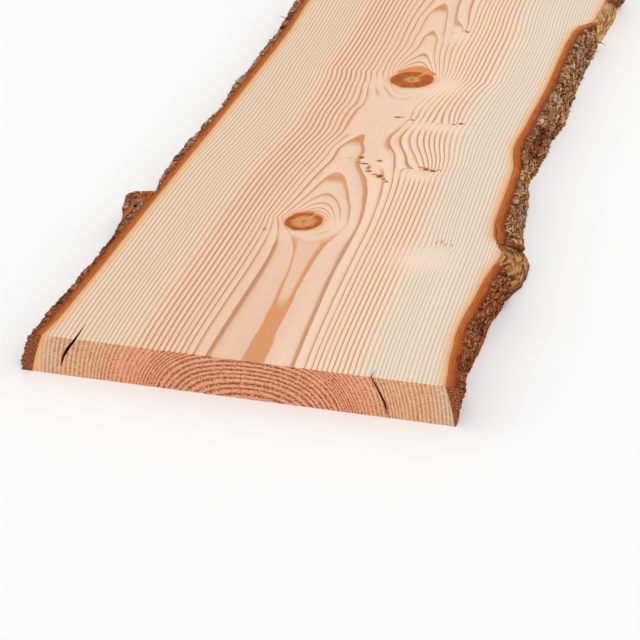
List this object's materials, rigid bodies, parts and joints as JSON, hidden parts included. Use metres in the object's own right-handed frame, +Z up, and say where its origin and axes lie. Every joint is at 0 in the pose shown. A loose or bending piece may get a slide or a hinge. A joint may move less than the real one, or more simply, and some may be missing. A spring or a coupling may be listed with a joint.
{
  "type": "live-edge plank",
  "caption": "Sawn softwood plank with natural live edges: bark strips down both sides, bare branch swellings on one edge, knots, ring pattern and drying checks at one end.",
  "frame": {"origin": "on the underside, on the plane through the log's pith, half way along the plank", "axes": "+Y along the plank from the checked butt end up the tree, +Z up out of the narrower sawn face, +X across to the edge with the branch swellings"},
  "size_m": [0.4323, 1.5, 0.04],
  "materials": {
    "wood": "fine sawn, unfinished",
    "bark": "rough, matt"
  },
  "bodies": {
    "root": {"sawn_board": "wood", "bark_left": "bark", "bark_right_butt": "bark", "bark_right_middle": "bark", "bark_right_top": "bark"}
  },
  "joints": []
}
